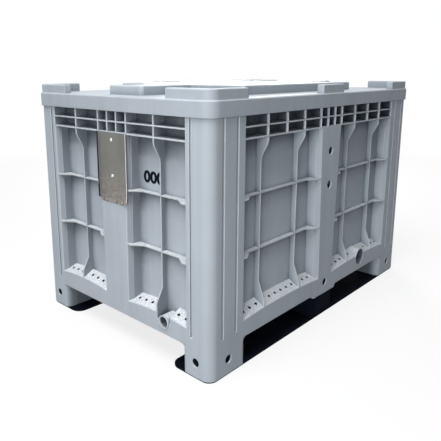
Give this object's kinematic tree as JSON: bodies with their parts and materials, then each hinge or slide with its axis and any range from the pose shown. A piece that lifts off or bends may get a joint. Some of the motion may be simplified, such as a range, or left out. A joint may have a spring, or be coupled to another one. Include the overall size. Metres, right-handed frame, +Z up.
{
  "type": "pallet box",
  "caption": "Ribbed plastic pallet box on two runners with a lift-off lid, a steel label plate and two drains closed by bungs.",
  "frame": {"origin": "on the floor, below the middle of the box", "axes": "+X along the long side, +Y across to the far long side, +Z up; the label plate is on the -X wall"},
  "size_m": [1.212, 0.812, 0.8035],
  "materials": {
    "grey_plastic": "moulded, fine grain",
    "black_plastic": "moulded, matt",
    "steel": "brushed",
    "black_rubber": "matt"
  },
  "bodies": {
    "box": {"tub": "grey_plastic", "runner_front": "black_plastic", "runner_rear": "black_plastic", "runner_pins_front": "black_plastic", "runner_pins_rear": "black_plastic", "label_plate": "steel", "plate_rivets": "steel"},
    "lid": {"lid": "grey_plastic"},
    "bung_front": {"drain_bung_front": "black_rubber"},
    "bung_left": {"drain_bung_left": "black_rubber"}
  },
  "joints": [
    {"name": "lid_lift", "type": "slide", "parent": "box", "child": "lid", "axis": [0, 0, 1], "range_m": [0, 0.3]},
    {"name": "bung_front_pull", "type": "slide", "parent": "box", "child": "bung_front", "axis": [0, -1, 0], "range_m": [0, 0.06]},
    {"name": "bung_left_pull", "type": "slide", "parent": "box", "child": "bung_left", "axis": [-1, 0, 0], "range_m": [0, 0.06]}
  ]
}
